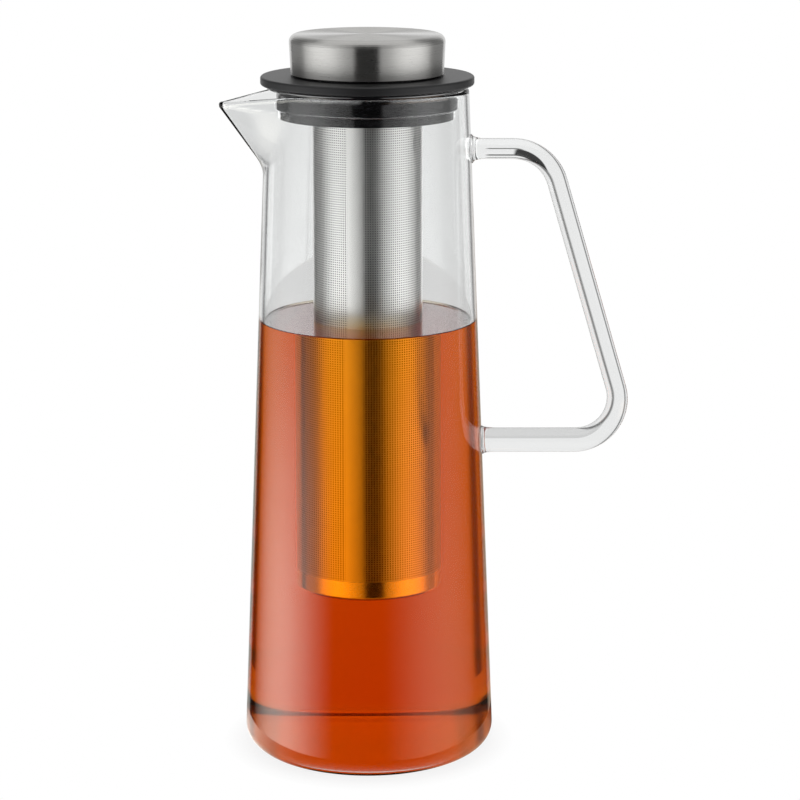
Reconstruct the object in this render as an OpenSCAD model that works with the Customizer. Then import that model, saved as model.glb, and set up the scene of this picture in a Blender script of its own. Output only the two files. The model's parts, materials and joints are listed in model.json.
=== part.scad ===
// Glass pitcher with a pulled lip, a fused rod handle and a lid that carries a tube infuser.
// The jug stands on z = 0 with its axis on Z, the lip towards -X and the handle towards +X.

/* [Glass jug] */
// Height of the jug's rim
jug_h = 278; // [240:1:320]
// Outer diameter of the jug just above its base
base_d = 105; // [96:1:125]
// Outer diameter of the jug at its rim
rim_d = 82.4; // [80:0.2:92]
// Thickness of the glass wall
wall = 2.2; // [1.6:0.1:2.8]
// Thickness of the glass floor
base_t = 3; // [2.4:0.1:5]
// Rounding between the floor and the wall, outside
base_round = 8; // [5:0.5:12]

/* [Pouring lip] */
// Distance from the axis to the tip of the lip
lip_reach = 60.2; // [56:0.2:68]
// Drop of the tip below the rim
lip_drop = 5.4; // [3:0.2:10]
// Depth below the rim at which the lip leaves the wall
lip_depth = 32; // [24:1:42]
// Radius of the tip, seen from above
lip_tip_r = 2.6; // [2.2:0.1:4]
// Height of the tip's blunt front edge
lip_edge = 2; // [1.4:0.1:3]

/* [Handle] */
// Diameter of the glass rod
rod_d = 8.4; // [7:0.2:11]
// Diameter of the rod in its lower run, where it is drawn less
rod_low_d = 10.2; // [7:0.2:11]
// Depth of the upper run's centre line below the rim
handle_drop = 24.5; // [18:0.5:40]
// Height between the centre lines of the two runs
handle_span = 122.2; // [100:0.2:140]
// Reach of the centre line's upper corner from the glass wall
handle_top_out = 31.2; // [28:0.2:42]
// Reach of the centre line's lower corner from the glass wall
handle_low_out = 62.2; // [52:0.2:72]
// Radius of the rod's upper bend, on its centre line
bend_r = 19; // [12:0.5:21]
// Radius of its lower bend, on its centre line
low_bend_r = 17.6; // [12:0.2:21]
// Diameter of the flared feet where they meet the wall
foot_d = 11.8; // [11.2:0.2:16]
// Length of the flare along the rod
foot_len = 5; // [3:0.5:9]
// Height of the foot's blunt edge on the wall
foot_edge = 0.5; // [0.3:0.1:1]

/* [Lid] */
// Overhang of the brim beyond the glass rim
brim_out = 2.1; // [1:0.1:8]
// Thickness of the brim
brim_t = 3.6; // [3:0.1:6]
// Rounding of the brim's edge
brim_round = 0.9; // [0.4:0.1:1.4]
// Gap between the plug's silicone sleeve and the glass
sleeve_gap = 2.1; // [1:0.1:2.6]
// Depth of the sleeve below the brim
sleeve_depth = 9.7; // [7:0.1:11]
// Inset of the sleeve's flange from the edge of the glass rim it lies on
gasket_inset = 0.3; // [0:0.1:1]
// Thickness of that flange
gasket_t = 1.3; // [1:0.1:2]
// Step from the sleeve in to the end of the plug below it
plug_step = 1.5; // [1:0.1:2]
// Depth of the plug below the brim
plug_depth = 13.2; // [12:0.2:20]
// Thickness of the plug's wall behind the sleeve
plug_wall = 2.8; // [2.2:0.1:3.6]
// Depth of the sleeve's groove in the plug
groove_depth = 1; // [0.6:0.1:1.4]
// Thickness of the collar that guides the infuser
collar_wall = 1.8; // [1.4:0.1:3]
// Depth of that collar below the brim
collar_depth = 9; // [5:0.5:12]

/* [Infuser] */
// Space between the infuser tube and the glass at the rim
neck_space = 16.5; // [15:0.5:20]
// Thickness of the infuser's sheet
sheet_t = 0.5; // [0.3:0.05:0.8]
// Length of the infuser from its flange to the underside of its cup
infuser_len = 212.8; // [120:0.2:215]
// Width of the flange beyond the tube
flange_w = 5; // [4:0.2:5.4]
// Thickness of the flange
flange_t = 0.8; // [0.6:0.1:1.2]
// Depth of the flange's collar inside the tube
rim_collar = 10; // [7:0.5:14]
// Height of the cup's plain band
cup_h = 8; // [7:0.5:16]
// Rounding of the cup's lower corner
cup_round = 1.5; // [1:0.25:6]
// Height of the cup's neck inside the tube
cup_neck = 4; // [2:0.5:8]

/* [Cap] */
// Lap of the steel cap beyond the infuser's recess in the brim
cap_lap = 3.4; // [2.4:0.2:8]
// Height of the steel cap
cap_h = 15.8; // [13:0.2:24]
// Thickness of the cap's sheet
cap_t = 0.6; // [0.4:0.05:1]
// Rounding of the cap's upper edge
cap_round = 3; // [2:0.25:5]
// Inward draft of the cap's side at its lower edge
cap_draft = 0.6; // [0.2:0.1:1]
// Shadow gap between the brim and the steel cap
cap_gap = 0.9; // [0.7:0.1:2]
// Inset of the core in that gap, from the outside of the cap
core_inset = 1.6; // [1.2:0.1:2.4]
// Depth of the cap's plug in the infuser
cap_plug = 11; // [9:0.5:16]
// Height of the plug's silicone ring
seal_h = 4; // [3:0.2:5]
// Thickness of that ring
seal_t = 1.6; // [1.2:0.1:2]
// Height by which that ring stands out of its groove
seal_lip = 0.6; // [0.3:0.1:0.8]

/* [Clearances] */
// Gap between pieces that lift apart
seat_gap = 0.3; // [0.2:0.05:0.5]
// Gap between pieces that stay together
fit_gap = 0.1; // [0.05:0.01:0.15]
// Radial play of the infuser in the lid
tube_play = 0.7; // [0.5:0.1:1]
// Gap of the fused joint between the handle and the wall
weld_gap = 0.05; // [0.02:0.01:0.1]
// Setback of the lip's root inside the wall
lip_blend = 0.15; // [0.1:0.01:0.3]

/* [Hidden] */
$fn = 96;

// Steps in each rounded corner of an outline
arc_steps = 6;
// Steps in each bend of the rod, and sides of its skin
bend_steps = 10;
rod_sides = 24;
// Small overlap that lets a cut break through
cut = 1;

// Jug
rim_r = rim_d / 2;
neck_r = rim_r - wall;
rim_bead = wall / 2;
wall_lean = atan((base_d - rim_d) / 2 / (jug_h - base_round));
base_c = base_d / 2 - base_round;
wall_low_r = base_c + base_round * cos(wall_lean);
wall_low_z = base_round * (1 + sin(wall_lean));
wall_slope = (wall_low_r - rim_r) / (jug_h - rim_bead - wall_low_z);
inner_round = base_round - wall;

// Lip
lip_root = jug_h - lip_depth;
lip_top = jug_h - lip_drop;
lip_thin = 0.7;
lip_rise = 0.6;

// Handle
handle_top = jug_h - handle_drop;
handle_low = handle_top - handle_span;
handle_top_x = wall_r(handle_top) + handle_top_out;
handle_low_x = wall_r(handle_low) + handle_low_out;
handle_lean = atan2(handle_span, handle_low_x - handle_top_x);
top_trim = bend_r * tan(handle_lean / 2);
low_turn = 180 - handle_lean;
low_trim = low_bend_r * tan(low_turn / 2);
foot_sink = foot_d / 4;

// Lid
gasket_low = jug_h + seat_gap;
gasket_top = gasket_low + gasket_t;
brim_low = gasket_top + fit_gap;
brim_top = brim_low + brim_t;
plug_low = brim_low - plug_depth;
sleeve_low = brim_low - sleeve_depth;
brim_r = rim_r + brim_out;
gasket_r = rim_r - gasket_inset;
sleeve_r = neck_r - sleeve_gap;
plug_end_r = sleeve_r - plug_step;
groove_r = plug_end_r - groove_depth;
tube_r = neck_r - neck_space;
flange_r = tube_r + flange_w;
hole_r = tube_r + tube_play;
recess_r = flange_r + tube_play;
ledge_z = brim_top - flange_t - seat_gap;

// Infuser
flange_low = ledge_z + seat_gap;
tube_in = tube_r - sheet_t;
collar_out = tube_in - fit_gap;
collar_in = collar_out - sheet_t;
cup_low = flange_low - infuser_len;
cup_top = cup_low + cup_h;

// Cap
core_low = brim_top + seat_gap;
shell_low = brim_top + cap_gap;
shell_top = shell_low + cap_h;
cap_r = recess_r + cap_lap;
core_r = cap_r - cap_t - fit_gap;
plug_r = collar_in - seat_gap - seal_lip;
seal_groove_r = plug_r + seal_lip - seal_t;
seal_mid = core_low - cap_plug / 2;

// Points on an arc about [x, y], from angle a to angle b
function arc(x, y, r, a, b) =
    [for (i = [0:arc_steps]) let(t = a + (b - a) * i / arc_steps) [x + r * cos(t), y + r * sin(t)]];

// Outer radius of the jug's wall at height z
function wall_r(z) = wall_low_r - wall_slope * (z - wall_low_z);

// Half section of the jug's wall and floor, with a round rim
module jug_section() {
    polygon(concat(
        [[0, 0]],
        arc(base_c, base_round, base_round, -90, wall_lean),
        arc(rim_r - rim_bead, jug_h - rim_bead, rim_bead, 0, 180),
        arc(base_c, base_t + inner_round, inner_round, wall_lean, -90),
        [[0, base_t]]));
}

// Half section of the space inside the jug, carried on above the rim
module jug_space() {
    polygon([
        [0, lip_root - wall],
        [wall_r(lip_root - wall) - wall, lip_root - wall],
        [wall_r(jug_h + cut) - wall, jug_h + cut],
        [0, jug_h + cut]]);
}

// Wedge between the neck and the lip's tip; an inset above 0 gives the channel inside it
module lip_wedge(inset) {
    rise = inset * lip_rise;
    top = inset > 0 ? lip_drop + cut : 0;
    rim_z = jug_h - rim_bead;
    hull() {
        translate([0, 0, lip_root])
            cylinder(r = wall_r(lip_root) - inset - lip_blend, h = cut, $fn = 64);
        translate([0, 0, rim_z - cut])
            cylinder(r = rim_r - inset - lip_blend, h = cut + top, $fn = 64);
        translate([lip_tip_r - lip_reach, 0, lip_top - lip_edge + rise])
            cylinder(r = lip_tip_r - inset * lip_thin, h = lip_edge - rise + top, $fn = 32);
    }
}

module glass_body() {
    color([0.86, 0.90, 0.90, 0.4])
    difference() {
        union() {
            rotate_extrude() jug_section();
            difference() {
                lip_wedge(0);
                rotate_extrude() jug_space();
            }
        }
        lip_wedge(wall);
    }
}

// A station of the rod is [place in the XZ plane, heading, radius].
// Stations of a flared foot on the wall at height z, for a rod of diameter d
function foot_stations(z, d) = concat(
    [[[wall_r(z) - foot_sink, z], 0, foot_d / 2]],
    [for (i = [0:arc_steps]) let(t = 90 * i / arc_steps)
        [[wall_r(z) + foot_edge + foot_len * (1 - cos(t)), z], 0,
         d / 2 + (foot_d - d) / 2 * (1 - sin(t))]]);

// Stations of a bend of radius r to the right about a centre, with the rod's diameter going from d0 to d1
function bend_stations(centre, r, heading, turn, d0, d1) =
    [for (i = [0:bend_steps]) let(u = i / bend_steps, h = heading - turn * u)
        [centre + r * [-sin(h), cos(h)], h, (d0 + (d1 - d0) * u) / 2]];

// The same stations from last to first, headed the other way
function turned(stations) =
    [for (i = [len(stations) - 1:-1:0]) [stations[i][0], stations[i][1] - 180, stations[i][2]]];

// Points of the ring round one station
function ring(s) =
    [for (i = [0:rod_sides - 1]) let(t = 360 * i / rod_sides, side = s[2] * cos(t))
        [s[0][0] - side * sin(s[1]), s[2] * sin(t), s[0][1] + side * cos(s[1])]];

// Closed skin through the rings of all stations
module sweep(stations) {
    n = rod_sides;
    last = len(stations) - 1;
    polyhedron(
        points = [for (s = stations) each ring(s)],
        faces = concat(
            [[for (i = [0:n - 1]) i]],
            [for (k = [0:last - 1], i = [0:n - 1]) let(j = (i + 1) % n)
                each [[k * n + i, k * n + n + i, k * n + n + j], [k * n + i, k * n + n + j, k * n + j]]],
            [[for (i = [n - 1:-1:0]) last * n + i]]));
}

module glass_handle() {
    top_centre = [handle_top_x - top_trim, handle_top - bend_r];
    low_centre = [handle_low_x - low_trim, handle_low + low_bend_r];
    color([0.88, 0.92, 0.92, 0.5])
    difference() {
        sweep(concat(
            foot_stations(handle_top, rod_d),
            bend_stations(top_centre, bend_r, 0, handle_lean, rod_d, rod_d),
            bend_stations(low_centre, low_bend_r, -handle_lean, low_turn, rod_d, rod_low_d),
            turned(foot_stations(handle_low, rod_low_d))));
        translate([0, 0, handle_low - foot_d])
            cylinder(r1 = wall_r(handle_low - foot_d) + weld_gap,
                     r2 = wall_r(handle_top + foot_d) + weld_gap,
                     h = handle_span + 2 * foot_d);
    }
}

module lid_base() {
    edge_r = brim_r - brim_round;
    color([0.10, 0.10, 0.11])
    rotate_extrude()
        polygon(concat(
            [[hole_r, brim_low - collar_depth],
             [hole_r + collar_wall, brim_low - collar_depth],
             [hole_r + collar_wall, brim_low],
             [groove_r - plug_wall, brim_low],
             [groove_r - plug_wall, plug_low],
             [plug_end_r, plug_low],
             [plug_end_r, sleeve_low - fit_gap],
             [groove_r, sleeve_low - fit_gap],
             [groove_r, brim_low]],
            arc(edge_r, brim_low + brim_round, brim_round, -90, 0),
            arc(edge_r, brim_top - brim_round, brim_round, 0, 90),
            [[recess_r, brim_top], [recess_r, ledge_z], [hole_r, ledge_z]]));
}

module lid_seal() {
    soft = (sleeve_r - groove_r) / 3;
    gasket_edge = gasket_t / 2;
    color([0.22, 0.22, 0.23])
    rotate_extrude()
        polygon(concat(
            [[groove_r + fit_gap, sleeve_low]],
            arc(sleeve_r - soft, sleeve_low + soft, soft, -90, 0),
            [[sleeve_r, gasket_low]],
            arc(gasket_r - gasket_edge, gasket_low + gasket_edge, gasket_edge, -90, 90),
            [[groove_r + fit_gap, gasket_top]]));
}

module infuser_rim() {
    color([0.78, 0.78, 0.77])
    rotate_extrude()
        polygon([
            [collar_in, flange_low - rim_collar],
            [collar_out, flange_low - rim_collar],
            [collar_out, flange_low],
            [flange_r, flange_low],
            [flange_r, flange_low + flange_t],
            [collar_in, flange_low + flange_t]]);
}

module infuser_tube() {
    color([0.72, 0.72, 0.71])
    translate([0, 0, cup_top])
        difference() {
            cylinder(r = tube_r, h = flange_low - cup_top);
            translate([0, 0, -cut]) cylinder(r = tube_in, h = flange_low - cup_top + 2 * cut);
        }
}

module infuser_cup() {
    corner = tube_r - cup_round;
    color([0.80, 0.79, 0.77])
    rotate_extrude()
        polygon(concat(
            [[0, cup_low]],
            arc(corner, cup_low + cup_round, cup_round, -90, 0),
            [[tube_r, cup_top],
             [collar_out, cup_top],
             [collar_out, cup_top + cup_neck],
             [collar_in, cup_top + cup_neck],
             [collar_in, cup_top - sheet_t],
             [tube_in, cup_top - sheet_t]],
            arc(corner, cup_low + cup_round, cup_round - sheet_t, 0, -90),
            [[0, cup_low + sheet_t]]));
}

module steel_cap() {
    corner = cap_r - cap_round;
    color([0.76, 0.75, 0.73])
    rotate_extrude()
        polygon(concat(
            [[cap_r - cap_t - cap_draft, shell_low], [cap_r - cap_draft, shell_low]],
            arc(corner, shell_top - cap_round, cap_round, 0, 90),
            [[0, shell_top], [0, shell_top - cap_t]],
            arc(corner, shell_top - cap_round, cap_round - cap_t, 90, 0)));
}

module cap_insert() {
    core_top = shell_top - cap_t - fit_gap;
    color([0.12, 0.12, 0.13])
    rotate_extrude()
        polygon(concat(
            [[0, core_low - cap_plug],
             [plug_r, core_low - cap_plug],
             [plug_r, seal_mid - seal_h / 2 - fit_gap],
             [seal_groove_r, seal_mid - seal_h / 2 - fit_gap],
             [seal_groove_r, seal_mid + seal_h / 2 + fit_gap],
             [plug_r, seal_mid + seal_h / 2 + fit_gap],
             [plug_r, core_low],
             [cap_r - cap_draft - core_inset, core_low],
             [cap_r - cap_draft - core_inset, shell_low],
             [core_r - cap_draft, shell_low]],
            arc(core_r - cap_round, core_top - cap_round, cap_round, 0, 90),
            [[0, core_top]]));
}

module cap_seal() {
    bulge = seal_h / 2;
    seal_in = seal_groove_r + fit_gap;
    color([0.30, 0.30, 0.31])
    rotate_extrude()
        polygon(concat(
            [[seal_in, seal_mid - bulge]],
            [for (i = [0:arc_steps]) let(t = -90 + 180 * i / arc_steps)
                [plug_r + seal_lip * cos(t), seal_mid + bulge * sin(t)]],
            [[seal_in, seal_mid + bulge]]));
}

glass_body();
glass_handle();
lid_base();
lid_seal();
infuser_rim();
infuser_tube();
infuser_cup();
steel_cap();
cap_insert();
cap_seal();
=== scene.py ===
"""Glass infuser pitcher: fire-polished glass, tea, etched and brushed steel, black plastic and silicone."""
import json
import math
import bmesh
import bpy
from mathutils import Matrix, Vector


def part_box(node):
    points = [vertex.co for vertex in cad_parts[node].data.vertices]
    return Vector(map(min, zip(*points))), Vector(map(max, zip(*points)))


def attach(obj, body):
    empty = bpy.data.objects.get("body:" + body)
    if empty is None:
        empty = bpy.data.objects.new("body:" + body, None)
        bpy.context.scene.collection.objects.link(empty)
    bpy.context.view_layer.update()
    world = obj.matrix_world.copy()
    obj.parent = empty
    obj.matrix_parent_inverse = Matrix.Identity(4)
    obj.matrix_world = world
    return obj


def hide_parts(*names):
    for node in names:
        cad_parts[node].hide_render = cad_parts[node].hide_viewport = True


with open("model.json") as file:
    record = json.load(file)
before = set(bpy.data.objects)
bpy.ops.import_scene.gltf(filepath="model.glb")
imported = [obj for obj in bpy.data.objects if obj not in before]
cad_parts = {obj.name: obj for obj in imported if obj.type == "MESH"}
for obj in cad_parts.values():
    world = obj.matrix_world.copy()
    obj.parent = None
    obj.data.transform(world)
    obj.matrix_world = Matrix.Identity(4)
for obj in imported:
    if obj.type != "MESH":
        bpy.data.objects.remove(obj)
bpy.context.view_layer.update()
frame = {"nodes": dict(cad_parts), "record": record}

# Sizes in millimetres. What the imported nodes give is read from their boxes.
MM = 0.001


def corners(node):
    """Lowest and highest corner of a node's box, in millimetres."""
    low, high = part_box(node)
    return low / MM, high / MM


# Jug
JUG_LOW, JUG_HIGH = corners("glass_body")
JUG_H = JUG_HIGH.z
BASE_R = 52.5
LIP_REACH = -JUG_LOW.x
RIM_R = 41.2
WALL = 2.2
BEAD = WALL / 2
BASE_T = 3.0
BASE_ROUND = 8.0
INNER_ROUND = BASE_ROUND - WALL
BASE_C = BASE_R - BASE_ROUND
LEAN = math.atan((BASE_R - RIM_R) / (JUG_H - BASE_ROUND))
WALL_LOW_R = BASE_C + BASE_ROUND * math.cos(LEAN)
WALL_LOW_Z = BASE_ROUND * (1 + math.sin(LEAN))
WALL_SLOPE = (WALL_LOW_R - RIM_R) / (JUG_H - BEAD - WALL_LOW_Z)

# Pouring lip; RIM_SOFT is a share of the way along a flank to the tip
LIP_DROP = 5.4
LIP_DEPTH = 32.0
LIP_EDGE = 2.0
LIP_SOFT = 4.0
LIP_WALL = 2.4
TIP_R = 2.6
TIP_INNER_R = 1.0
LIP_MARGIN = 2.0
RIM_SOFT = 0.12
FLANK_TILT = 1.0
LIP_ROOT = JUG_H - LIP_DEPTH
LIP_ZONE = LIP_ROOT - LIP_SOFT - LIP_MARGIN

# Lid
SLEEVE_LOW = corners("lid_seal")[0].z

# Handle
ROD_R = 4.2
ROD_LOW_R = 5.1
HANDLE_DROP = 24.5
HANDLE_SPAN = 122.2
HANDLE_TOP = JUG_H - HANDLE_DROP
HANDLE_LOW = HANDLE_TOP - HANDLE_SPAN
HANDLE_TOP_OUT = 31.2
HANDLE_LOW_OUT = 62.2
BEND_R = 19.0
LOW_BEND_R = 17.6
FOOT_R = 5.9
FOOT_LEN = 5.0
FOOT_EDGE = 0.5
WELD_GAP = 0.05

# Drink; a face whose normal rises by more than FACING_UP is its open surface
TEA_LEVEL = 183.0
TEA_OVERLAP = 0.3
MENISCUS = 0.7
MENISCUS_W = 1.8
TOUCH = 0.01
FACING_UP = 0.2

# Etched pattern of the infuser; the strip's soft edge is in radians, the holes' edge in heights of a wave
HOLE_PITCH = 0.95
STRIP_ANGLE = math.radians(12)
STRIP_W = 6.8
STRIP_SOFT = 0.01
HOLE_EDGE = (0.5, 1.1)
PLAIN_TOP = 4.0
PLAIN_LOW = 0.3
PLAIN_SOFT = 0.2

# Fineness of the meshes: rows along a section, columns round the axis, and the lip's half width in degrees
LIP_ROWS = 30
LOW_ROWS = 8
HIGH_ROWS = 3
BEAD_ROWS = 10
BASE_ROWS = 12
FLOOR_ROWS = 10
LIP_TURN = 54
LIP_COLUMNS = 54
BACK_COLUMNS = 42
ROD_SIDES = 48
BEND_ROWS = 28
FOOT_ROWS = 14
FOOT_SHARES = (0.3, 0.6, 0.85, 1.0)
TEA_ROWS = 12
TEA_COLUMNS = 160
CURVE_ROWS = 10


# Meshes

def wall_r(z):
    """Outer radius of the jug's straight wall at a height."""
    return WALL_LOW_R - WALL_SLOPE * (z - WALL_LOW_Z)


def arc(x, z, r, start, end, steps):
    """Points on an arc in the (radius, height) plane, angles in degrees."""
    turns = [math.radians(start + (end - start) * i / steps) for i in range(steps + 1)]
    return [(x + r * math.cos(t), z + r * math.sin(t)) for t in turns]


def steps_between(a, b, count):
    """Evenly spaced values from a to b, both ends included."""
    return [a + (b - a) * i / count for i in range(count + 1)]


def soft_ramp(d, soft):
    """0 below, d above, with a smooth turn of half-width soft between them."""
    if d <= -soft:
        return 0.0
    if d >= soft:
        return d
    return (d + soft) ** 2 / (4 * soft)


def add_piece(name, verts, faces, material, body, slot, sharp=40, second=None):
    """Closed mesh piece in millimetres, smooth apart from its sharp edges, riding on a body.

    A second material comes with the test that tells which faces have it.
    """
    mesh = bpy.data.meshes.new(name)
    mesh.from_pydata([Vector(v) * MM for v in verts], [], faces)
    build = bmesh.new()
    build.from_mesh(mesh)
    bmesh.ops.recalc_face_normals(build, faces=build.faces)
    build.to_mesh(mesh)
    build.free()
    mesh.polygons.foreach_set("use_smooth", [True] * len(mesh.polygons))
    mesh.set_sharp_from_angle(angle=math.radians(sharp))
    mesh.materials.append(material)
    if second:
        mesh.materials.append(second[0])
        for face in mesh.polygons:
            face.material_index = int(second[1](face))
    piece = bpy.data.objects.new(name, mesh)
    bpy.context.scene.collection.objects.link(piece)
    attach(piece, body)
    return piece


def touches_tea(face):
    """Whether a face of the jug looks inwards below the tea line."""
    x, y, z = face.center / MM
    below = BASE_T - TOUCH < z < TEA_LEVEL + MENISCUS
    return below and math.hypot(x, y) < max(wall_r(z), BASE_C) - WALL / 2


def on_lip(face):
    """Whether a face is on a flank of the lip, outside or inside."""
    x, y, z = face.center / MM
    outwards = face.normal.x * x + face.normal.y * y
    return x < 0 and z > LIP_ROOT - LIP_SOFT and outwards * face.normal.z < -FLANK_TILT


def without_gloss(face):
    """Whether a face of the jug shows no reflections."""
    return touches_tea(face) or on_lip(face)


def open_to_air(face):
    """Whether a face of the drink looks up."""
    return face.normal.z > FACING_UP


def strip_faces(a, b):
    """Quads between two rings of vertex numbers; a ring of one vertex is a pole."""
    count = max(len(a), len(b))
    faces = []
    for i in range(count):
        j = (i + 1) % count
        loop = [a[i % len(a)], a[j % len(a)], b[j % len(b)], b[i % len(b)]]
        faces.append(list(dict.fromkeys(loop)))
    return faces


def lathe(profile, segments):
    """Vertices and faces of a closed outline of (radius, height) points turned about the axis."""
    verts = []
    rings = []
    for r, z in profile:
        count = segments if r > 0 else 1
        rings.append(range(len(verts), len(verts) + count))
        for i in range(count):
            turn = 2 * math.pi * i / segments
            verts.append((r * math.cos(turn), r * math.sin(turn), z))
    faces = []
    for a, b in zip(rings, rings[1:] + rings[:1]):
        if len(a) > 1 or len(b) > 1:
            faces += strip_faces(a, b)
    return verts, faces


def lip_hull(turn, r, reach, tip):
    """Distance from the axis to the outline round a circle r and the lip's tip circle."""
    centre = reach - tip
    if centre <= r - tip:
        return r
    touch = math.acos((r - tip) / centre)
    if turn >= touch:
        return r
    first = math.atan2(tip * math.sin(touch), centre + tip * math.cos(touch))
    if turn >= first:
        return r / math.cos(touch - turn)
    return centre * math.cos(turn) + math.sqrt(tip ** 2 - (centre * math.sin(turn)) ** 2)


def lip_reach(z):
    """Distance from the axis to the ridge of the lip at a height."""
    edge = JUG_H - LIP_DROP - LIP_EDGE
    slope = (LIP_REACH - wall_r(edge)) / (edge - LIP_ROOT)
    return min(wall_r(z) + slope * soft_ramp(z - LIP_ROOT, LIP_SOFT), LIP_REACH)


def rim_edge(turn):
    """Height of the outer edge below the rim's bead, at an angle from the lip."""
    centre = LIP_REACH - TIP_R
    touch = math.acos((RIM_R - TIP_R) / centre)
    along = RIM_R * math.tan(touch - turn) / (centre * math.sin(touch)) if turn < touch else touch - turn
    return JUG_H - BEAD - LIP_DROP * min(soft_ramp(along, RIM_SOFT), 1.0)


def jug_column(turn):
    """Points (radius, height) of the jug's section at an angle from the lip, outside up and inside down."""
    edge = rim_edge(turn)
    lip_heights = steps_between(LIP_ZONE, edge, LIP_ROWS)
    line = TEA_LEVEL + MENISCUS
    straight = steps_between(WALL_LOW_Z, line, LOW_ROWS)[1:]
    straight += steps_between(line, LIP_ZONE, HIGH_ROWS)[1:-1]
    outer = []
    inner = []
    for z in lip_heights:
        outer.append((lip_hull(turn, wall_r(z), lip_reach(z), TIP_R), z))
        inner.append((lip_hull(turn, wall_r(z) - WALL, lip_reach(z) - LIP_WALL, TIP_INNER_R), z))
    middle = (outer[-1][0] + inner[-1][0]) / 2
    half = (outer[-1][0] - inner[-1][0]) / 2
    bead = [(middle + half * c, edge + BEAD * s) for c, s in arc(0, 0, 1, 0, 180, BEAD_ROWS)[1:-1]]
    base = arc(BASE_C, BASE_ROUND, BASE_ROUND, -90, math.degrees(LEAN), BASE_ROWS)
    floor = arc(BASE_C, BASE_T + INNER_ROUND, INNER_ROUND, math.degrees(LEAN), -90, FLOOR_ROWS)
    outside = base + [(wall_r(z), z) for z in straight] + outer
    inside = inner[::-1] + [(wall_r(z) - WALL, z) for z in straight[::-1]] + floor
    return outside + bead + inside


def jug_mesh():
    """The jug as columns round the axis, close together at the lip."""
    fine = steps_between(0, LIP_TURN, LIP_COLUMNS)
    coarse = steps_between(LIP_TURN, 180, BACK_COLUMNS)[1:]
    half = fine + coarse
    turns = [math.radians(t) for t in half + [-t for t in half[-2:0:-1]]]
    columns = [jug_column(abs(t)) for t in turns]
    rows = len(columns[0])
    verts = []
    for k in range(rows):
        for turn, column in zip(turns, columns):
            r, z = column[k]
            verts.append((-r * math.cos(turn), r * math.sin(turn), z))
    rings = [range(k * len(turns), (k + 1) * len(turns)) for k in range(rows)]
    under, floor = [len(verts)], [len(verts) + 1]
    verts += [(0, 0, 0), (0, 0, BASE_T)]
    faces = []
    for a, b in zip([under, *rings], [*rings, floor]):
        faces += strip_faces(a, b)
    return verts, faces


def rod_ring(x, z, heading, radius):
    """Ring of points round the rod's centre line at a place and heading in the XZ plane."""
    points = []
    for i in range(ROD_SIDES):
        t = 2 * math.pi * i / ROD_SIDES
        side = radius * math.cos(t)
        points.append((x - side * math.sin(heading), radius * math.sin(t), z + side * math.cos(heading)))
    return points


def foot_rings(z, radius, heading):
    """Rings of a flared foot, from the middle of its seat on the wall out to the rod."""
    def on_wall(y, height):
        return math.sqrt(wall_r(height) ** 2 - y ** 2)

    rings = []
    for share in FOOT_SHARES:
        flat = rod_ring(0, z, heading, FOOT_R * share)
        rings.append([(on_wall(p[1], p[2]) + WELD_GAP, p[1], p[2]) for p in flat])
    for i in range(FOOT_ROWS + 1):
        t = math.pi / 2 * i / FOOT_ROWS
        r = radius + (FOOT_R - radius) * (1 - math.sin(t))
        out = FOOT_EDGE + FOOT_LEN * (1 - math.cos(t))
        hug = 1 - i / FOOT_ROWS
        flat = rod_ring(0, z, heading, r)
        rings.append([(out + hug * on_wall(p[1], p[2]) + (1 - hug) * wall_r(z), p[1], p[2]) for p in flat])
    return rings


def handle_mesh():
    """The rod from its upper foot round two bends to its lower foot."""
    top_x = wall_r(HANDLE_TOP) + HANDLE_TOP_OUT
    low_x = wall_r(HANDLE_LOW) + HANDLE_LOW_OUT
    lean = math.atan2(HANDLE_TOP - HANDLE_LOW, low_x - top_x)
    low_turn = math.pi - lean
    top_c = (top_x - BEND_R * math.tan(lean / 2), HANDLE_TOP - BEND_R)
    low_c = (low_x - LOW_BEND_R * math.tan(low_turn / 2), HANDLE_LOW + LOW_BEND_R)
    rings = foot_rings(HANDLE_TOP, ROD_R, 0)
    bends = ((top_c, BEND_R, 0, lean, ROD_R, ROD_R), (low_c, LOW_BEND_R, -lean, low_turn, ROD_R, ROD_LOW_R))
    for centre, bend, heading, turn, r0, r1 in bends:
        for u in steps_between(0, 1, BEND_ROWS):
            h = heading - turn * u
            place = (centre[0] - bend * math.sin(h), centre[1] + bend * math.cos(h))
            rings.append(rod_ring(*place, h, r0 + (r1 - r0) * u))
    rings += foot_rings(HANDLE_LOW, ROD_LOW_R, -math.pi)[::-1]
    verts = [p for ring in rings for p in ring]
    numbers = [range(k * ROD_SIDES, (k + 1) * ROD_SIDES) for k in range(len(rings))]
    faces = []
    for a, b in zip(numbers, numbers[1:]):
        faces += strip_faces(a, b)
    for ring, z in ((numbers[0], HANDLE_TOP), (numbers[-1], HANDLE_LOW)):
        verts.append((wall_r(z) + WELD_GAP, 0, z))
        faces += strip_faces(ring, [len(verts) - 1])
    return verts, faces


def tea_profile():
    """Half section of the drink, which reaches a little into the glass so that no air shows between."""
    heights = steps_between(WALL_LOW_Z, TEA_LEVEL + MENISCUS, TEA_ROWS)
    wall = [(wall_r(z) - WALL + TEA_OVERLAP, z) for z in heights]
    base = arc(BASE_C, BASE_T + INNER_ROUND, INNER_ROUND + TEA_OVERLAP, -90, math.degrees(LEAN), FLOOR_ROWS)
    edge = wall[-1][0]
    curve = []
    for u in steps_between(0, 1, CURVE_ROWS)[1:]:
        curve.append((edge - MENISCUS_W * u, TEA_LEVEL + MENISCUS * (1 - u) ** 3))
    return [(0, BASE_T - TEA_OVERLAP)] + base + wall[1:] + curve + [(edge / 2, TEA_LEVEL), (0, TEA_LEVEL)]


# Shader helpers

def new_material(name):
    """A node material, its tree and its main shader."""
    material = bpy.data.materials.new(name)
    material.use_nodes = True
    tree = material.node_tree
    return material, tree, tree.nodes["Principled BSDF"]


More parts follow.
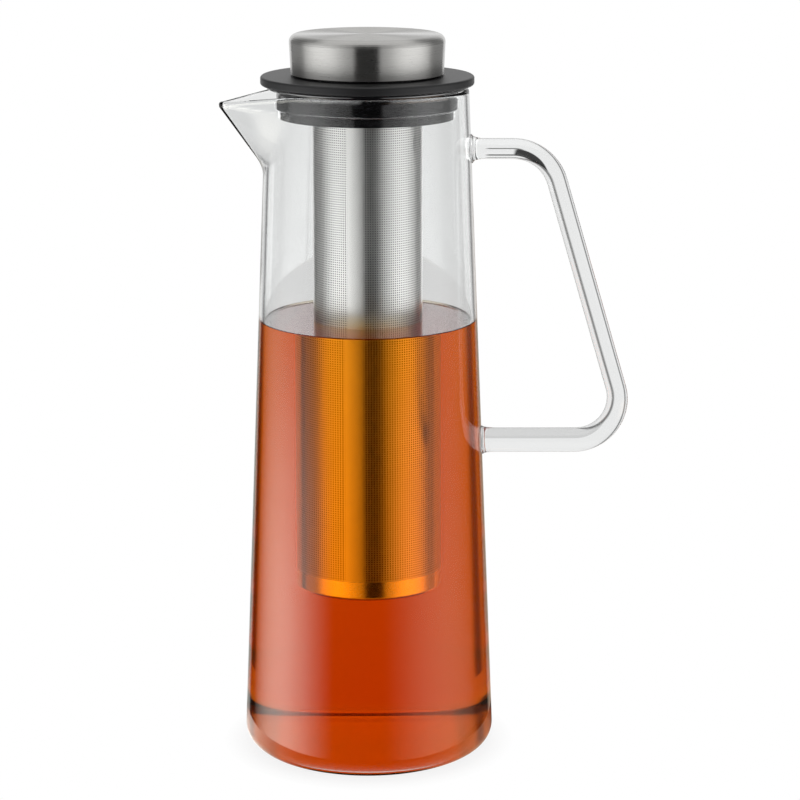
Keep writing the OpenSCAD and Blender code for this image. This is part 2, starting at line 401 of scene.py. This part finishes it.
def make(tree, kind, inputs=(), **settings):
    """A node with its settings made and its inputs set or linked."""
    node = tree.nodes.new(kind)
    for key, value in settings.items():
        setattr(node, key, value)
    for key, value in dict(inputs).items():
        if isinstance(value, bpy.types.NodeSocket):
            tree.links.new(value, node.inputs[key])
        else:
            node.inputs[key].default_value = value
    return node


def calc(tree, operation, *values):
    """Result of a Math node."""
    return make(tree, "ShaderNodeMath", enumerate(values), operation=operation).outputs[0]


def scaled(tree, value, factor):
    """A value times a factor."""
    return calc(tree, "MULTIPLY", value, factor)


def total(tree, *values):
    """Sum of values."""
    result = values[0]
    for value in values[1:]:
        result = calc(tree, "ADD", result, value)
    return result


def pick(tree, switch, off, on):
    """One of two values by a switch of 0 or 1."""
    return make(tree, "ShaderNodeMix", {0: switch, 2: off, 3: on}, data_type="FLOAT").outputs[0]


def between(tree, value, low, high, soft):
    """1 where a value lies between low and high, 0 outside, with soft edges."""
    names = ("From Min", "From Max", "To Min", "To Max")
    masks = []
    for edges in ((low - soft, low + soft, 0, 1), (high - soft, high + soft, 1, 0)):
        inputs = {"Value": value, **dict(zip(names, edges))}
        masks.append(make(tree, "ShaderNodeMapRange", inputs, interpolation_type="SMOOTHSTEP").outputs[0])
    return scaled(tree, *masks)


def polar(tree):
    """The object's x, y and z, and the distance from its axis."""
    place = make(tree, "ShaderNodeTexCoord").outputs["Object"]
    split = make(tree, "ShaderNodeSeparateXYZ", {0: place}).outputs
    squares = [scaled(tree, split[i], split[i]) for i in (0, 1)]
    return split[0], split[1], split[2], calc(tree, "SQRT", calc(tree, "ADD", *squares))


def noise(tree, scale, detail, vector=None):
    """Factor of a Noise texture in the object's own space."""
    place = vector or make(tree, "ShaderNodeTexCoord").outputs["Object"]
    inputs = {"Vector": place, "Scale": scale, "Detail": detail}
    return make(tree, "ShaderNodeTexNoise", inputs).outputs["Fac"]


def ramp(tree, value, low, high):
    """A value from 0 to 1 carried to the range from low to high."""
    inputs = {"Value": value, "To Min": low, "To Max": high}
    return make(tree, "ShaderNodeMapRange", inputs).outputs[0]


def grey_mix(tree, fac, dark, light):
    """A colour between two colours."""
    node = make(tree, "ShaderNodeMix", {"Factor": fac}, data_type="RGBA")
    node.inputs[6].default_value = (*dark, 1)
    node.inputs[7].default_value = (*light, 1)
    return node.outputs[2]


def bump(tree, shader, height, strength, distance):
    """Fine relief from a height."""
    inputs = {"Height": height, "Strength": strength, "Distance": distance}
    tree.links.new(make(tree, "ShaderNodeBump", inputs).outputs[0], shader.inputs["Normal"])


def setup(shader, **values):
    """Constants on the shader's own sockets; underscores stand for spaces."""
    for key, value in values.items():
        shader.inputs[key.replace("_", " ")].default_value = value


# Materials

# Colours; a pair is the dark and the light end of a grain, or the metal of the etched sheet and the painted
# shade of its holes, near black for the dark inside seen through them
WHITE = (1, 1, 1, 1)
BLACK = (0, 0, 0, 1)
GLASS_TINT = (0.965, 0.972, 0.97, 1)
TEA_TINT = (0.966, 0.72, 0.0, 1)
TEA_DENSITY = 105.0
TEA_TOP_TINT = (0.6, 0.6, 0.6, 1)
BRUSHED = ((0.335, 0.331, 0.32), (0.475, 0.47, 0.455))
DRAWN = ((0.60, 0.59, 0.57), (0.70, 0.69, 0.67))
ETCHED_AND_HOLE_SHADE = ((0.66, 0.655, 0.64), (0.05, 0.05, 0.05))
PLASTIC = ((0.006, 0.006, 0.0065), (0.012, 0.012, 0.013))
SILICONE = ((0.003, 0.003, 0.0035), (0.006, 0.006, 0.007))

# Roughness from one end of the grain to the other, and of polished plastic
BRUSHED_ROUGH = (0.24, 0.34)
DRAWN_ROUGH = (0.16, 0.26)
ETCHED_ROUGH = (0.278, 0.3)
PLASTIC_ROUGH = (0.38, 0.48)
SILICONE_ROUGH = (0.03, 0.05)
POLISHED = 0.04

# Brushed lines: their fineness across and round the axis, and the turn that lays their gloss across them
LINES_ACROSS = 3500.0
LINES_ROUND = 2.5
QUARTER_TURN = 0.25


def glass_material(name):
    """Clear borosilicate with the faint waves of blown glass."""
    material, tree, shader = new_material(name)
    setup(shader, Base_Color=GLASS_TINT, Roughness=0.0, IOR=1.47, Transmission_Weight=1.0)
    waves = noise(tree, scale=28.0, detail=1.0)
    bump(tree, shader, waves, strength=0.05, distance=0.002)
    return material


def quiet_glass_material():
    """The same glass without mirror gloss, for where tea touches it and for the lip's flanks."""
    material = glass_material("quiet_glass")
    setup(material.node_tree.nodes["Principled BSDF"], Specular_Tint=BLACK)
    return material


def tea_material(name, gloss, clear):
    """Tea that deepens with its thickness; gloss and clear tint what it mirrors and lets through."""
    material, tree, shader = new_material(name)
    setup(shader, Base_Color=clear, Specular_Tint=gloss)
    setup(shader, Roughness=0.0, IOR=1.33, Transmission_Weight=1.0)
    waves = noise(tree, scale=20.0, detail=1.0)
    bump(tree, shader, waves, strength=0.03, distance=0.001)
    depth = make(tree, "ShaderNodeVolumeAbsorption", {"Color": TEA_TINT, "Density": TEA_DENSITY})
    tree.links.new(depth.outputs[0], tree.nodes["Material Output"].inputs["Volume"])
    return material


def draw_round(tree, shader, amount):
    """Gloss stretched up and down by fine lines that run round the axis."""
    setup(shader, Anisotropic=amount, Anisotropic_Rotation=QUARTER_TURN)
    tangent = make(tree, "ShaderNodeTangent", direction_type="RADIAL", axis="Z").outputs[0]
    tree.links.new(tangent, shader.inputs["Tangent"])


def brushed_material():
    """Stainless steel brushed round the axis."""
    material, tree, shader = new_material("brushed_steel")
    x, y, z, radius = polar(tree)
    across = scaled(tree, calc(tree, "SUBTRACT", radius, z), LINES_ACROSS)
    turn = [scaled(tree, calc(tree, "DIVIDE", side, radius), LINES_ROUND) for side in (x, y)]
    lines = make(tree, "ShaderNodeCombineXYZ", {0: across, 1: turn[0], 2: turn[1]}).outputs[0]
    grain = noise(tree, scale=1.0, detail=3.0, vector=lines)
    setup(shader, Metallic=1.0)
    tree.links.new(grey_mix(tree, grain, *BRUSHED), shader.inputs["Base Color"])
    tree.links.new(ramp(tree, grain, *BRUSHED_ROUGH), shader.inputs["Roughness"])
    draw_round(tree, shader, amount=1.0)
    bump(tree, shader, grain, strength=0.12, distance=0.0001)
    return material


def drawn_material():
    """Smooth drawn stainless sheet with faint draw marks."""
    material, tree, shader = new_material("bright_steel")
    marks = noise(tree, scale=900.0, detail=2.0)
    setup(shader, Metallic=1.0)
    tree.links.new(grey_mix(tree, marks, *DRAWN), shader.inputs["Base Color"])
    tree.links.new(ramp(tree, marks, *DRAWN_ROUGH), shader.inputs["Roughness"])
    bump(tree, shader, marks, strength=0.03, distance=0.0001)
    return material


def etched_material(low, high, radius):
    """Stainless sheet with fine rows of etched holes and a plain strip along its seam; the holes are painted
    near black, painted shade of the dark inside seen through them.
    """
    material, tree, shader = new_material("etched_steel")
    x, y, z, _ = polar(tree)
    sin_a, cos_a = math.sin(STRIP_ANGLE), math.cos(STRIP_ANGLE)
    ahead = calc(tree, "ADD", scaled(tree, x, sin_a), scaled(tree, y, cos_a))
    aside = calc(tree, "SUBTRACT", scaled(tree, x, cos_a), scaled(tree, y, sin_a))
    turn = calc(tree, "ARCTAN2", aside, ahead)
    around = scaled(tree, turn, radius / HOLE_PITCH * 2 * math.pi)
    along = scaled(tree, z, 2 * math.pi / (HOLE_PITCH * MM))
    waves = calc(tree, "ADD", calc(tree, "COSINE", around), calc(tree, "COSINE", along))
    edges = {"From Min": HOLE_EDGE[0], "From Max": HOLE_EDGE[1]}
    dots = make(tree, "ShaderNodeMapRange", {"Value": waves, **edges}).outputs[0]
    half_strip = STRIP_W / 2 / radius
    sheet = between(tree, turn, half_strip - math.pi, math.pi - half_strip, STRIP_SOFT)
    rows = between(tree, z, (low + PLAIN_LOW) * MM, (high - PLAIN_TOP) * MM, PLAIN_SOFT * MM)
    holes = scaled(tree, dots, scaled(tree, sheet, rows))
    grain = noise(tree, scale=700.0, detail=2.0)
    # Holes painted near black: painted shade of the dark inside of the tube seen through them
    tree.links.new(grey_mix(tree, holes, *ETCHED_AND_HOLE_SHADE), shader.inputs["Base Color"])
    setup(shader, Metallic=1.0)
    tree.links.new(ramp(tree, grain, *ETCHED_ROUGH), shader.inputs["Roughness"])
    draw_round(tree, shader, amount=0.45)
    bump(tree, shader, calc(tree, "SUBTRACT", 1.0, holes), strength=0.25, distance=0.0002)
    return material


def plastic_material():
    """Black moulded plastic with a fine satin grain, polished on the end of the plug."""
    material, tree, shader = new_material("black_plastic")
    grain = noise(tree, scale=2600.0, detail=3.0)
    setup(shader, IOR=1.5, Specular_IOR_Level=0.32, Coat_IOR=1.8, Coat_Roughness=POLISHED)
    _, _, z, _ = polar(tree)
    gloss = calc(tree, "LESS_THAN", z, SLEEVE_LOW * MM)
    tree.links.new(gloss, shader.inputs["Coat Weight"])
    tree.links.new(grey_mix(tree, grain, *PLASTIC), shader.inputs["Base Color"])
    rough = pick(tree, gloss, ramp(tree, grain, *PLASTIC_ROUGH), POLISHED)
    tree.links.new(rough, shader.inputs["Roughness"])
    bump(tree, shader, grain, strength=0.06, distance=0.0001)
    return material


def silicone_material():
    """Dark silicone with a smooth, slightly mottled skin."""
    material, tree, shader = new_material("grey_silicone")
    mottle = noise(tree, scale=60.0, detail=1.0)
    setup(shader, IOR=1.7, Specular_IOR_Level=0.78)
    tree.links.new(grey_mix(tree, mottle, *SILICONE), shader.inputs["Base Color"])
    tree.links.new(ramp(tree, mottle, *SILICONE_ROUGH), shader.inputs["Roughness"])
    return material


# Pieces

def make_jug():
    """Glass jug and its handle, fused by eye but each its own piece."""
    glass = glass_material("clear_glass")
    quiet = (quiet_glass_material(), without_gloss)
    jug = add_piece("jug_glass", *jug_mesh(), glass, "carafe", "glass", sharp=80, second=quiet)
    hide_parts("glass_body")
    handle = add_piece("handle_glass", *handle_mesh(), glass, "carafe", "glass", sharp=60)
    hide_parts("glass_handle")


def make_tea():
    """The drink in the jug."""
    drink = tea_material("tea", BLACK, WHITE)
    top = (tea_material("tea_top", WHITE, TEA_TOP_TINT), open_to_air)
    form = lathe(tea_profile(), TEA_COLUMNS)
    add_piece("tea", *form, drink, "carafe", None, sharp=60, second=top)


def dress_nodes():
    """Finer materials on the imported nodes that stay."""
    tube_low, tube_high = corners("infuser_tube")
    finishes = {
        "black_plastic": plastic_material(),
        "silicone": silicone_material(),
        "bright_steel": drawn_material(),
        "etched_steel": etched_material(tube_low.z, tube_high.z, tube_high.x),
        "brushed_steel": brushed_material(),
    }
    for part in frame["record"]["subparts"]:
        node = frame["nodes"][part["node"]]
        if part["material_slot"] in finishes:
            node.data.materials.clear()
            node.data.materials.append(finishes[part["material_slot"]])


# Studio

CAMERA_PLACE = (0.0132, -1.061, 0.403)
CAMERA_PITCH = math.radians(13.5)
FOCAL_PIXELS = 2622
FRAME_PIXELS = 800

# Floor: its size in millimetres, where it fades into the backdrop in metres, and how faded it is within
FLOOR_R = 75.0
FLOOR_GAP = 0.05
FLOOR_SIDES = 96
FLOOR_COLOUR = (0.9, 0.9, 0.9, 1)
FADE_FROM = 0.052
FADE_TO = 0.062
SHADOW_FADE = 0.86

# Brightness and tint of the softboxes, and brightness of what shows through the glass and of plain light
LEFT_GLOSS = 4.6
RIGHT_GLOSS = 1.9
HIGH_GLOSS = 0.45
LEFT_TINT = (1.0, 0.98, 0.9, 1)
RIGHT_TINT = (1.0, 0.74, 0.55, 1)
METAL_HIGH = 1.05
METAL_LOW = 3.2
BACK_GLOSS = 0.95
EDGE_GLOSS = 0.55
TEA_GLOSS = 1.45
TOP_GLOSS = 1.3
DARK = 0.012
ROD_LIGHT = 0.9
BACKDROP = 0.76
STRIPE_DARK = 0.75
# Share of the softboxes' light that the floor glows with where mirrors see it: a painted reflection
FLOOR_SOFTBOX_GLOW = 0.35
PLAIN_LIGHT = 0.8

# Where lights stand round the object: first and last angle and soft edge in degrees, for metal also a level.
# The dark stripes are shifted on the right and on the left, what the tube mirrors is turned, and FRONT is
# the last angle that counts as the front.
LEFT_BOX = (-112, -58, 27)
RIGHT_BOX = (38, 98, 27)
HIGH_BOX = (57, 135, 20)
METAL_BOXES = ((19, 150, 4, 0.24), (19, 108, 4, 0.17), (43, 101, 23, 0.6))
METAL_TURN = 11.0
STRIPE = (123, 133, 4)
STRIPE_SHIFT = (-3.0, 6.0)
ROD_STRIPE_SHIFT = (30.5, 19.0)
BACK = (152, 400, 3)
FRONT = 112.0

# How high they stand: lowest and highest angle and soft edge in degrees
LOW_RISE = (-27, -10.6, 4.5)
HIGH_RISE = (-10, 8, 3)
BACK_RISE = (-95, 50, 6)
TOP_RISE = (50, 100, 6)
METAL_RISE = (-100, 47, 4)
METAL_LOW_RISE = (-35, -12, 5)
STEEP_RISE = (24, 56, 5)
UNDER_RISE = (-100, -35, 5)
TUBE_RISE = (-100, -8.5, 1.5)

# Upper limits of the walls that light passes: none, in the rod or lip, in the empty jug, in the tea;
# and of the surfaces that mirror it when none does
BARE_WALLS = 0.5
ROD_WALLS = 3.5
DRY_WALLS = 5.5
TEA_WALLS = 7.5
NO_MIRROR = 0.5

# Card behind the handle in metres: its place, and its dark areas (left, right, low, high edge and darkness)
CARD_Y = 0.06
CARD = (0.03, 0.125, -0.03, 0.31)
CARD_DARK = ((0.063, 0.092, 0.246, 0.276, 0.95), (0.050, 0.066, 0.244, 0.2465, 1.0),
             (0.050, 0.066, 0.268, 0.276, 0.9), (0.050, 0.086, 0.295, 0.305, 1.0),
             (0.035, 0.120, -0.020, 0.112, 0.25))
CARD_SOFT = 0.0015
CARD_BLACK = ((0.0, 0.0, 0.0), (0.02, 0.02, 0.02))


def bearing(tree, x, y):
    """Angle in degrees round the object, 0 in front, positive on the handle's side."""
    return calc(tree, "DEGREES", calc(tree, "ARCTAN2", x, scaled(tree, y, -1.0)))


def glass_gloss(tree, turn):
    """Light that the jug mirrors below: a bright softbox on the lip's side and a dim one opposite."""
    left = scaled(tree, between(tree, turn, *LEFT_BOX), LEFT_GLOSS)
    right = scaled(tree, between(tree, turn, *RIGHT_BOX), RIGHT_GLOSS)
    return total(tree, left, right)


def gloss_tint(tree, turn, fac):
    """White, or where fac is 1 the warm tint of the softboxes seen low beside the tea."""
    side = make(tree, "ShaderNodeMix", {"Factor": calc(tree, "GREATER_THAN", turn, 0.0)}, data_type="RGBA")
    side.inputs[6].default_value = LEFT_TINT
    side.inputs[7].default_value = RIGHT_TINT
    tint = make(tree, "ShaderNodeMix", {"Factor": fac, 7: side.outputs[2]}, data_type="RGBA")
    tint.inputs[6].default_value = WHITE
    return tint.outputs[2]


def metal_gloss(tree, turn):
    """Light that metal and plastic mirror: two wide softboxes with a dark gap in front between them."""
    aside = calc(tree, "ABSOLUTE", turn)
    return total(tree, *[scaled(tree, between(tree, aside, *box), level) for *box, level in METAL_BOXES])


def make_floor():
    """Pale round table top that keeps the shadow and fades into the white backdrop at its edge; seen in
    mirrors it glows with the softboxes' light by its bearing, a painted reflection.
    """
    verts = [(0, 0, -FLOOR_GAP)]
    for i in range(FLOOR_SIDES):
        turn = 2 * math.pi * i / FLOOR_SIDES
        verts.append((FLOOR_R * math.cos(turn), FLOOR_R * math.sin(turn), -FLOOR_GAP))
    mesh = bpy.data.meshes.new("floor")
    mesh.from_pydata([Vector(v) * MM for v in verts], [], strip_faces(range(1, FLOOR_SIDES + 1), [0]))
    floor = bpy.data.objects.new("floor", mesh)
    bpy.context.scene.collection.objects.link(floor)
    material, tree, shader = new_material("white_table")
    setup(shader, Base_Color=FLOOR_COLOUR, Roughness=0.6)
    x, y, _, radius = polar(tree)
    rays = make(tree, "ShaderNodeLightPath").outputs
    seen = calc(tree, "MAXIMUM", rays["Is Camera Ray"], rays["Is Transmission Ray"])
    mirror = scaled(tree, rays["Is Glossy Ray"], rays["Is Reflection Ray"])
    turn = bearing(tree, x, y)
    # Painted reflection: seen in mirrors the floor glows with the softboxes' light by its bearing
    gloss = total(tree, scaled(tree, glass_gloss(tree, turn), FLOOR_SOFTBOX_GLOW), DARK)
    plain = pick(tree, rays["Is Camera Ray"], BACKDROP, 1.0)
    inputs = {"Color": gloss_tint(tree, turn, mirror), "Strength": pick(tree, mirror, plain, gloss)}
    glow = make(tree, "ShaderNodeEmission", inputs)
    inputs = {"Value": radius, "From Min": FADE_FROM, "From Max": FADE_TO, "To Min": SHADOW_FADE}
    fade = make(tree, "ShaderNodeMapRange", inputs).outputs[0]
    fac = calc(tree, "MAXIMUM", scaled(tree, fade, seen), mirror)
    mix = make(tree, "ShaderNodeMixShader", {0: fac, 1: shader.outputs[0], 2: glow.outputs[0]}).outputs[0]
    tree.links.new(mix, tree.nodes["Material Output"].inputs["Surface"])
    mesh.materials.append(material)


def make_card():
    """Dark card with soft edges that shows only through the glass of the handle."""
    left, right, low, high = CARD
    verts = [(left, CARD_Y, low), (right, CARD_Y, low), (right, CARD_Y, high), (left, CARD_Y, high)]
    mesh = bpy.data.meshes.new("card")
    mesh.from_pydata(verts, [], [range(4)])
    card = bpy.data.objects.new("card", mesh)
    bpy.context.scene.collection.objects.link(card)
    for kind in ("camera", "diffuse", "glossy", "shadow"):
        setattr(card, "visible_" + kind, False)
    material, tree, shader = new_material("black_card")
    grain = noise(tree, scale=300.0, detail=2.0)
    tree.links.new(grey_mix(tree, grain, *CARD_BLACK), shader.inputs["Base Color"])
    setup(shader, Roughness=1.0, Specular_IOR_Level=0.0)
    x, _, z, _ = polar(tree)
    dark = 0.0
    for left, right, low, high, depth in CARD_DARK:
        across = between(tree, x, left, right, CARD_SOFT)
        area = scaled(tree, across, between(tree, z, low, high, CARD_SOFT))
        dark = calc(tree, "MAXIMUM", dark, scaled(tree, area, depth))
    rays = make(tree, "ShaderNodeLightPath").outputs
    rod = scaled(tree, calc(tree, "LESS_THAN", rays["Transmission Depth"], ROD_WALLS),
                 calc(tree, "LESS_THAN", rays["Glossy Depth"], NO_MIRROR))
    clear = make(tree, "ShaderNodeBsdfTransparent").outputs[0]
    inputs = {0: scaled(tree, dark, rod), 1: clear, 2: shader.outputs[0]}
    mix = make(tree, "ShaderNodeMixShader", inputs).outputs[0]
    tree.links.new(mix, tree.nodes["Material Output"].inputs["Surface"])
    mesh.materials.append(material)


def light_through(tree, turn, walls):
    """Light that comes through glass and tea, with dark stripes where it is bent far aside."""
    rod = calc(tree, "LESS_THAN", walls, ROD_WALLS)
    left = calc(tree, "LESS_THAN", turn, 0.0)
    shift = pick(tree, rod, pick(tree, left, *STRIPE_SHIFT), pick(tree, left, *ROD_STRIPE_SHIFT))
    aside = calc(tree, "SUBTRACT", calc(tree, "ABSOLUTE", turn), shift)
    stripe = scaled(tree, between(tree, aside, *STRIPE), STRIPE_DARK)
    plain = pick(tree, rod, BACKDROP, ROD_LIGHT)
    return scaled(tree, plain, calc(tree, "SUBTRACT", 1.0, stripe))


def light_mirrored(tree, turn, height, bare, inside, walls):
    """Light that comes by way of bare glass, or of metal, plastic and tea, and where it is warm."""
    aside = calc(tree, "ABSOLUTE", turn)
    above_tea = scaled(tree, inside, calc(tree, "LESS_THAN", walls, DRY_WALLS))
    plain = pick(tree, bare, BACK_GLOSS, EDGE_GLOSS)
    back = scaled(tree, between(tree, aside, *BACK), pick(tree, above_tea, plain, TEA_GLOSS))
    back = scaled(tree, back, between(tree, height, *BACK_RISE))
    above = scaled(tree, between(tree, height, *TOP_RISE), TOP_GLOSS)
    low = between(tree, height, *LOW_RISE)
    high = scaled(tree, between(tree, height, *HIGH_RISE), HIGH_GLOSS)
    glass = total(tree, scaled(tree, low, glass_gloss(tree, turn)),
                  scaled(tree, high, between(tree, aside, *HIGH_BOX)))
    level = total(tree, scaled(tree, between(tree, height, *METAL_RISE), METAL_HIGH),
                  scaled(tree, between(tree, height, *METAL_LOW_RISE), METAL_LOW - METAL_HIGH))
    steep = total(tree, between(tree, height, *STEEP_RISE), between(tree, height, *UNDER_RISE))
    over = scaled(tree, steep, scaled(tree, inside, BACKDROP))
    tube = scaled(tree, between(tree, height, *TUBE_RISE), scaled(tree, inside, METAL_TURN))
    metal = scaled(tree, level, metal_gloss(tree, calc(tree, "SUBTRACT", turn, tube)))
    return total(tree, pick(tree, bare, metal, glass), over, back, above, DARK), scaled(tree, bare, low)


def make_world():
    """White backdrop and softboxes, which glass, metal and plain surfaces each see in their own way.

    Light from the metal inside passes four to seven walls. Light that a single wall mirrors towards the
    front is gloss, and what glass turns back otherwise counts as light through it.
    """
    world = bpy.data.worlds.new("studio")
    bpy.context.scene.world = world
    world.use_nodes = True
    tree = world.node_tree
    tree.nodes.clear()
    heading = make(tree, "ShaderNodeTexCoord").outputs["Generated"]
    split = make(tree, "ShaderNodeSeparateXYZ", {0: heading}).outputs
    turn = bearing(tree, split[0], split[1])
    height = calc(tree, "DEGREES", calc(tree, "ARCSINE", split[2]))
    rays = make(tree, "ShaderNodeLightPath").outputs
    walls = rays["Transmission Depth"]
    inside = calc(tree, "GREATER_THAN", walls, BARE_WALLS)
    outside = calc(tree, "SUBTRACT", 1.0, inside)
    metal_walls = scaled(tree, calc(tree, "GREATER_THAN", walls, ROD_WALLS),
                         calc(tree, "LESS_THAN", walls, TEA_WALLS))
    front = calc(tree, "LESS_THAN", calc(tree, "ABSOLUTE", turn), FRONT)
    wall = scaled(tree, scaled(tree, calc(tree, "LESS_THAN", walls, ROD_WALLS), inside), front)
    mirrored = scaled(tree, calc(tree, "GREATER_THAN", rays["Glossy Depth"], NO_MIRROR),
                      total(tree, outside, metal_walls, wall))
    bare = scaled(tree, rays["Is Singular Ray"], total(tree, outside, wall))
    mirror, warm = light_mirrored(tree, turn, height, bare, inside, walls)
    seen = pick(tree, inside, PLAIN_LIGHT, light_through(tree, turn, walls))
    seen = pick(tree, mirrored, seen, mirror)
    seen = pick(tree, rays["Is Camera Ray"], seen, 1.0)
    tint = gloss_tint(tree, turn, scaled(tree, mirrored, warm))
    sky = make(tree, "ShaderNodeBackground", {"Color": tint, "Strength": seen})
    tree.links.new(sky.outputs[0], make(tree, "ShaderNodeOutputWorld").inputs["Surface"])


def make_camera():
    """Camera at the photographed viewing angle."""
    data = bpy.data.cameras.new("camera")
    data.sensor_width = 36.0
    data.lens = FOCAL_PIXELS / FRAME_PIXELS * data.sensor_width
    data.clip_start = 0.01
    camera = bpy.data.objects.new("camera", data)
    camera.location = CAMERA_PLACE
    camera.rotation_euler = (math.pi / 2 - CAMERA_PITCH, 0, 0)
    bpy.context.scene.collection.objects.link(camera)
    bpy.context.scene.camera = camera


make_camera()
make_jug()
make_tea()
dress_nodes()
make_floor()
make_card()
make_world()

scene = bpy.context.scene
scene.view_settings.view_transform = "Standard"
scene.cycles.max_bounces = 24
scene.cycles.transmission_bounces = 20
scene.cycles.glossy_bounces = 8
